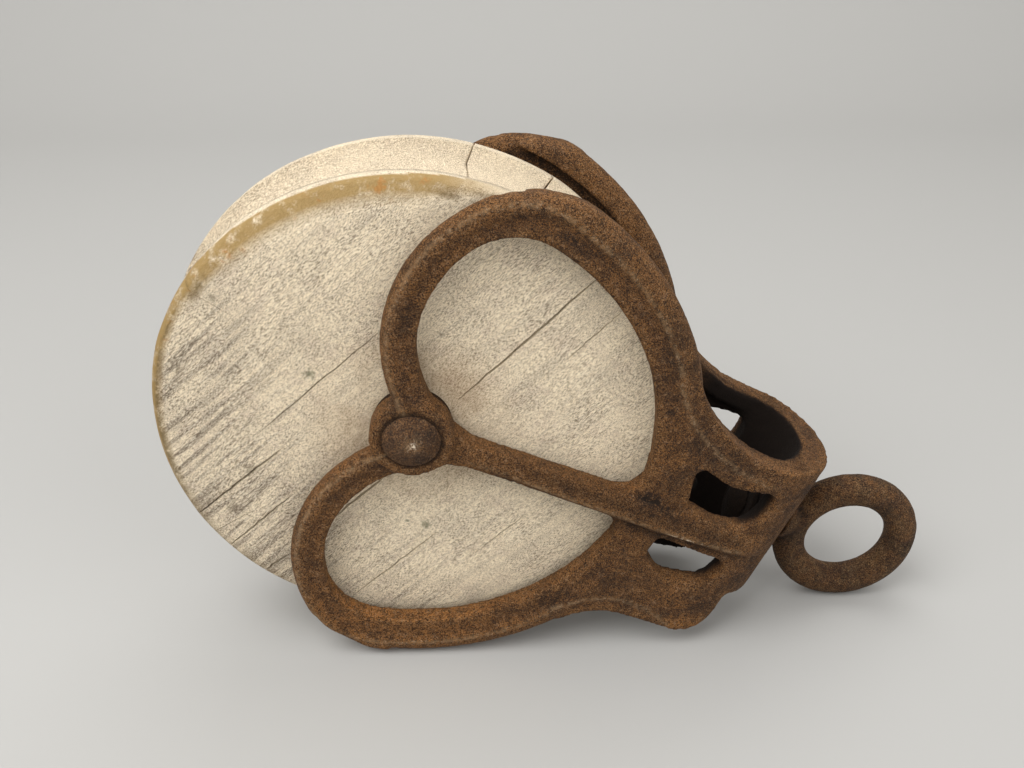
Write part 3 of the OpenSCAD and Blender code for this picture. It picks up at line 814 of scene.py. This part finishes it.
class PULLEY_OT_sheave(bpy.types.Operator):
    """The turned wooden sheave with its cracks and worn lips"""

    bl_idname = "pulley.sheave"
    bl_label = "Wooden sheave"

    def execute(self, context):
        settings = context.scene.pulley_wood
        profile = sheave_profile(settings)
        turn = np.linspace(0, 2 * math.pi, ROUND_STEPS, endpoint=False)
        radius, height = profile[:, 0][:, None], profile[:, 1][:, None]
        grid = np.stack([
            radius * np.cos(turn), -height + 0 * turn[None, :], radius * np.sin(turn)], axis=2)
        points = grid.reshape(-1, 3)
        outward = smoothstep(0.55, 1.0, np.hypot(points[:, 0], points[:, 2]) / SHEAVE_R)
        wave = value_noise(points, 42 * MM, 3) * 0.45 + value_noise(points, 11 * MM, 4) * 0.22
        radial = points * (1, 0, 1) / np.maximum(np.hypot(points[:, 0], points[:, 2]), MM)[:, None]
        points = points + radial * ((wave - 0.65) * outward * MM)[:, None]
        dish = (value_noise(points, 30 * MM, 5) * 0.25 - 0.25) * outward
        on_face = np.abs(points[:, 1]) > 0.9 * SHEAVE_HALF
        points[:, 1] -= np.sign(points[:, 1]) * np.abs(dish) * MM * on_face
        points[:, 1] += self.bevel(points)
        mesh = grid_mesh("turned_sheave", (points + AXLE).reshape(grid.shape))
        piece = add_object("turned_sheave", mesh)
        self.cut_cracks(piece)
        self.mark(piece.data)
        piece.data.materials.append(weathered_wood(settings))
        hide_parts("sheave")
        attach(piece, "sheave")
        return {"FINISHED"}

    @staticmethod
    def bevel(points):
        """How far the near face falls back towards its edge, where the rope has worn it.

        The worn band is widest above, at 105 degrees from the eye's side, and a thin round elsewhere.
        """
        radius = np.hypot(points[:, 0], points[:, 2])
        angle = np.degrees(np.arctan2(points[:, 2], points[:, 0])) % 360
        width = (2.0 + 8.0 * smoothstep(60, 95, angle) * smoothstep(150, 120, angle)
                 + 2.0 * smoothstep(250, 190, angle) * smoothstep(60, 95, angle)) * MM
        share = np.clip((radius - (SHEAVE_R - width)) / width, 0, 1)
        near = smoothstep(-0.55, -0.9, points[:, 1] / SHEAVE_HALF)
        return 0.32 * width * share ** 1.6 * near

    @staticmethod
    def blade(start, end, width, seed):
        """A crack's outline as a thin blade: a slightly wandering line, widest in the middle.

        Half the width at a share t of the length is a quarter of its greatest at the ends, and grows with
        the power 0.6 of the sine of t over half a turn.
        """
        share = np.linspace(0, 1, BLADE_STEPS)
        start, end = np.array(start, float), np.array(end, float)
        line = start + (end - start) * share[:, None]
        side = np.array([-(end - start)[1], (end - start)[0]]) / np.hypot(*(end - start))
        wander = np.random.default_rng(seed).uniform(-0.35, 0.35, BLADE_STEPS) * np.sin(math.pi * share)
        line = line + side * wander[:, None]
        half = width / 2 * (0.25 + 0.75 * np.sin(math.pi * share) ** 0.6)
        return line - side * half[:, None], line + side * half[:, None]

    def cut_cracks(self, piece):
        """Cuts the cracks with one cutter of thin blades, each a closed prism."""
        cutter = bmesh.new()
        near = -SHEAVE_HALF
        for seed, (start, end, width, depth) in enumerate(NEAR_CRACKS):
            left, right = self.blade(start, end, width, seed)
            self.prism(cutter, left, right, near - 1 * MM, near + depth * MM)
        for seed, (angle, width, start, end) in enumerate(RIM_CRACKS):
            ends = start * SHEAVE_HALF, end * SHEAVE_HALF
            self.wedge(cutter, math.radians(angle), width * MM, *ends, seed)
        made = bpy.data.meshes.new("cracks")
        bmesh.ops.recalc_face_normals(cutter, faces=cutter.faces)
        cutter.to_mesh(made)
        cutter.free()
        blades = add_object("cracks", made)
        cut = piece.modifiers.new("cracks", "BOOLEAN")
        cut.operation = "DIFFERENCE"
        cut.solver = "EXACT"
        cut.object = blades
        applied(piece)
        bpy.data.objects.remove(blades)

    @staticmethod
    def prism(cutter, left, right, front, back):
        """A closed prism between two lines in the sheave's plane, from front to back along the axle."""
        loop = np.concatenate([left, right[::-1]]) * MM
        rings = []
        for y in (front, back):
            rings.append([cutter.verts.new((x + AXLE[0], y, z + AXLE[2])) for x, z in loop])
        count = len(loop)
        for i in range(count):
            after = (i + 1) % count
            cutter.faces.new([rings[0][i], rings[0][after], rings[1][after], rings[1][i]])
        half = count // 2
        for ring in rings:
            for i in range(half - 1):
                cutter.faces.new([ring[i], ring[i + 1], ring[count - 2 - i], ring[count - 1 - i]])

    @staticmethod
    def wedge(cutter, angle, width, start, end, seed):
        """A crack across the rim: a thin, wandering, closed blade.

        It reaches from below the groove's floor out past the lips, and its width follows a sine.
        """
        inner, outer = 0.80 * SHEAVE_R, 1.02 * SHEAVE_R
        wander = np.random.default_rng(70 + seed).uniform(-1.2, 1.2, WEDGE_STEPS) * MM
        rings = []
        for y, shift in zip(np.linspace(start, end, WEDGE_STEPS), wander):
            share = (y - start) / (end - start)
            half = 0.5 * width * (0.3 + 0.7 * math.sin(math.pi * min(max(share, 0.04), 0.96)))
            middle = angle + shift / SHEAVE_R
            ring = []
            for radius, side in ((inner, -1), (outer, -1), (outer, 1), (inner, 1)):
                turn = middle + side * half / SHEAVE_R
                place = (AXLE[0] + radius * math.cos(turn), y, AXLE[2] + radius * math.sin(turn))
                ring.append(cutter.verts.new(place))
            rings.append(ring)
        for first, second in zip(rings, rings[1:]):
            for k in range(4):
                cutter.faces.new([first[k], first[(k + 1) % 4], second[(k + 1) % 4], second[k]])
        cutter.faces.new(rings[0])
        cutter.faces.new(rings[-1][::-1])

    @staticmethod
    def mark(mesh):
        """Attributes for the wood's material.

        They are rim on the near lip's worn band, seam along the band's inner edge, rusted round the axle for
        a rust stain and painted shade from the frame, dirt in the lower left, groove, and deep for painted
        shade on the cracks' walls. Angles run up from the ring's side.
        """
        points = vertex_array(mesh) - AXLE
        radius = np.hypot(points[:, 0], points[:, 2])
        angle = np.degrees(np.arctan2(points[:, 2], points[:, 0])) % 360
        from_lip = SHEAVE_R - radius
        near = points[:, 1] < -0.80 * SHEAVE_HALF
        width = 3.0 + 4.5 * smoothstep(66, 90, angle) * smoothstep(158, 128, angle)
        reach = smoothstep(66, 84, angle) * smoothstep(215, 180, angle)
        band = smoothstep(1.3 * width * MM, 0.7 * width * MM, from_lip) * near
        store(mesh, "rim", band * (0.15 + 0.85 * reach))
        seam = np.exp(-((from_lip - 0.95 * width * MM) / (0.9 * MM)) ** 2) * near
        store(mesh, "seam", seam * (0.25 + 0.75 * reach))
        store(mesh, "rust_stain_and_shade", smoothstep(44 * MM, 20 * MM, radius))
        low_left = smoothstep(20, 70, -(points[:, 0] + 0.5 * points[:, 2]) / MM)
        store(mesh, "dirt", low_left * smoothstep(0.3, 0.8, radius / SHEAVE_R))
        across = smoothstep(0.80, 0.70, np.abs(points[:, 1]) / SHEAVE_HALF)
        store(mesh, "groove", across * smoothstep(0.84, 0.88, radius / SHEAVE_R))
        # Every face inside the wood is a crack's wall, which gets painted shade
        inside = (np.abs(points[:, 1]) < SHEAVE_HALF - 1.2 * MM) & (radius < 0.8 * SHEAVE_R)
        store(mesh, "deep", (inside & (radius > BUSHING_R + 1.5 * MM)).astype(float))
        flat = np.array([abs(face.normal.y) > 0.9 for face in mesh.polygons])
        mesh.polygons.foreach_set("use_smooth", ~flat)


class PULLEY_OT_stage(bpy.types.Operator):
    """The floor, the backdrop, the lamps and the camera"""

    bl_idname = "pulley.stage"
    bl_label = "Stage"

    def execute(self, context):
        settings = context.scene.pulley_stage
        self.floor(settings)
        self.lamps(context)
        self.camera(context, settings)
        return {"FINISHED"}

    @staticmethod
    def floor(settings):
        """A pale sheet: flat under the pulley, then up behind it in a quarter circle, in metres."""
        front, back, side, bend, wall = -2.2, 0.62, 3.0, 0.35, 1.4
        sweep = np.linspace(0, math.pi / 2, 16)
        line = [(front, 0.0)] + [(back + bend * math.sin(a), bend * (1 - math.cos(a))) for a in sweep]
        line.append((back + bend, wall))
        sheet = np.array([[(x, y, z) for x in (-side, side)] for y, z in line])
        floor = add_object("floor", grid_mesh("floor", sheet, False, False))
        floor.data.polygons.foreach_set("use_smooth", np.ones(len(floor.data.polygons), bool))
        made = Finish("pale_floor")
        made.finish(settings.floor, 0.85)
        floor.data.materials.append(made.material)

    @staticmethod
    def lamps(context):
        """A large soft lamp above and to the left, weaker ones from the right and behind, and an even sky."""
        for name, place, size, power in [
                ("key", (-0.55, -0.45, 1.15), 0.9, 15.0),
                ("fill", (0.95, -0.75, 0.75), 1.1, 6.0),
                ("back", (0.1, 0.55, 1.2), 1.0, 5.0)]:
            light = bpy.data.lights.new(name, "AREA")
            light.size = size
            light.energy = power
            lamp = bpy.data.objects.new(name, light)
            lamp.location = place
            lamp.rotation_euler = (Vector((0, 0, 0.08)) - Vector(place)).to_track_quat("-Z", "Y").to_euler()
            context.scene.collection.objects.link(lamp)
        world = context.scene.world or bpy.data.worlds.new("sky")
        context.scene.world = world
        world.use_nodes = True
        sky = next(n for n in world.node_tree.nodes if n.type == "BACKGROUND")
        sky.inputs["Color"].default_value = (1.0, 0.98, 0.95, 1.0)
        sky.inputs["Strength"].default_value = 0.55

    @staticmethod
    def camera(context, settings):
        """The photograph's view, which looks at a point to the right of the axle and a little above it."""
        a, e = settings.azimuth, settings.elevation
        right = Vector((math.cos(a), math.sin(a), 0))
        back = Vector((math.sin(a) * math.cos(e), -math.cos(a) * math.cos(e), math.sin(e)))
        up = back.cross(right)
        lens = bpy.data.cameras.new("camera")
        lens.lens = settings.lens
        lens.sensor_width = 36.0
        lens.clip_start = 0.01
        camera = bpy.data.objects.new("camera", lens)
        turn = Matrix((right, up, back)).transposed()
        place = Vector(AXLE) + settings.aim_right * right + settings.aim_up * up + settings.distance * back
        camera.matrix_world = Matrix.Translation(place) @ turn.to_4x4()
        context.scene.collection.objects.link(camera)
        context.scene.camera = camera
        context.scene.view_settings.view_transform = "Standard"


class PULLEY_PT_panel(bpy.types.Panel):
    """The pulley's pieces in the sidebar"""

    bl_label = "Barn pulley"
    bl_space_type = "VIEW_3D"
    bl_region_type = "UI"
    bl_category = "Pulley"

    def draw(self, context):
        for operator in PIECE_OPERATORS:
            self.layout.operator(operator.bl_idname)
        for group in ("pulley_wood", "pulley_iron", "pulley_stage"):
            settings = getattr(context.scene, group)
            for name in settings.bl_rna.properties.keys():
                if name not in ("rna_type", "name"):
                    self.layout.prop(settings, name)


PIECE_OPERATORS = (PULLEY_OT_frame, PULLEY_OT_sheave, PULLEY_OT_eye, PULLEY_OT_pin, PULLEY_OT_stage)
SETTINGS = {
    "pulley_wood": PulleyWoodSettings,
    "pulley_iron": PulleyIronSettings,
    "pulley_stage": PulleyStageSettings,
}


def register():
    for group in SETTINGS.values():
        bpy.utils.register_class(group)
    for operator in (*PIECE_OPERATORS, PULLEY_PT_panel):
        bpy.utils.register_class(operator)
    for name, group in SETTINGS.items():
        setattr(bpy.types.Scene, name, bpy.props.PointerProperty(type=group))


def unregister():
    for name in SETTINGS:
        delattr(bpy.types.Scene, name)
    for operator in (PULLEY_PT_panel, *reversed(PIECE_OPERATORS)):
        bpy.utils.unregister_class(operator)
    for group in SETTINGS.values():
        bpy.utils.unregister_class(group)


def main():
    register()
    bpy.ops.pulley.frame()
    bpy.ops.pulley.sheave()
    bpy.ops.pulley.eye()
    bpy.ops.pulley.pin()
    bpy.ops.pulley.stage()


if __name__ == "__main__":
    main()
